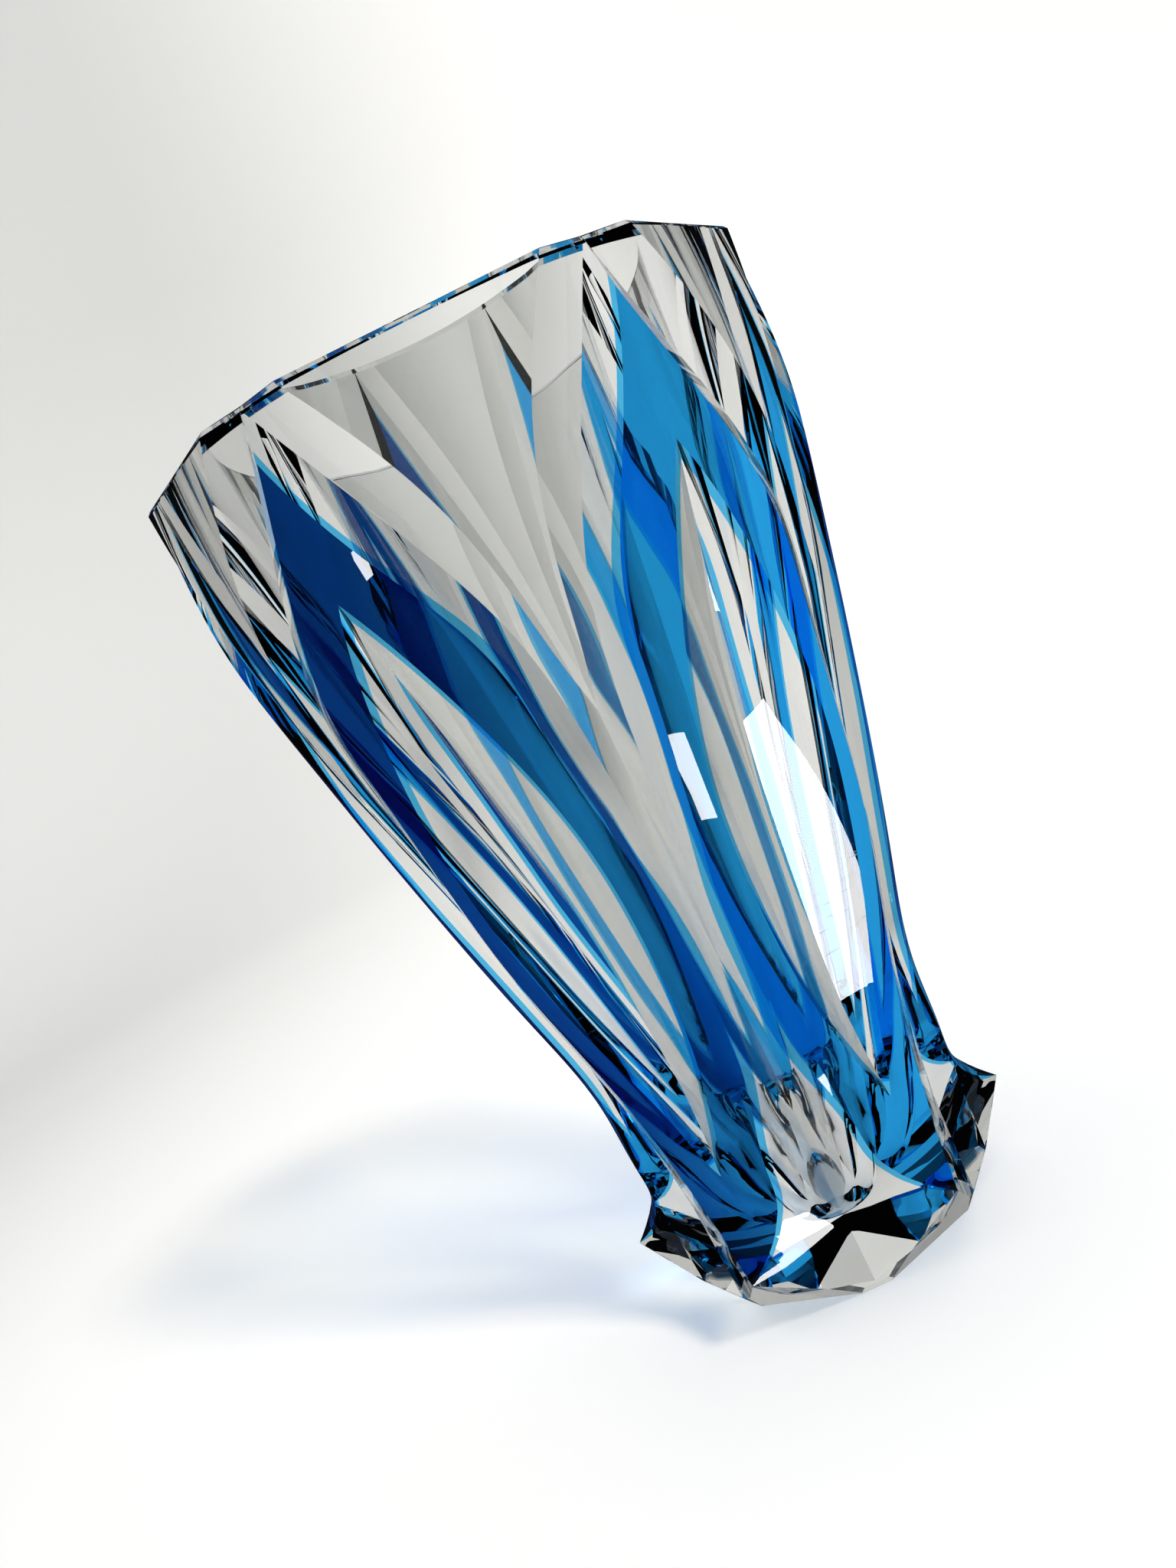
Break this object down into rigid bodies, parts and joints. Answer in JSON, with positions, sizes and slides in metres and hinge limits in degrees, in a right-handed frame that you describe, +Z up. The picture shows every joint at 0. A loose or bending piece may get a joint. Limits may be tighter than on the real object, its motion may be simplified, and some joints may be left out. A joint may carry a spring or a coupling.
{
  "type": "vase",
  "caption": "Tall faceted vase of heavy clear crystal cased in cobalt blue, cut back to pointed blue frames round lens cuts, on a star-shaped foot.",
  "frame": {"origin": "centre of the flat base", "axes": "+Z up along the vase's axis, -Y out through the middle of a clear panel"},
  "size_m": [0.1614, 0.1532, 0.25],
  "materials": {
    "clear_crystal": "cut and polished lead crystal",
    "cobalt_glass": "polished cobalt casing over clear crystal"
  },
  "bodies": {
    "root": {"crystal_body": "clear_crystal", "cobalt_panel_1": "cobalt_glass", "cobalt_panel_2": "cobalt_glass", "cobalt_panel_3": "cobalt_glass", "cobalt_panel_4": "cobalt_glass", "cobalt_panel_5": "cobalt_glass", "cobalt_panel_6": "cobalt_glass"}
  },
  "joints": []
}
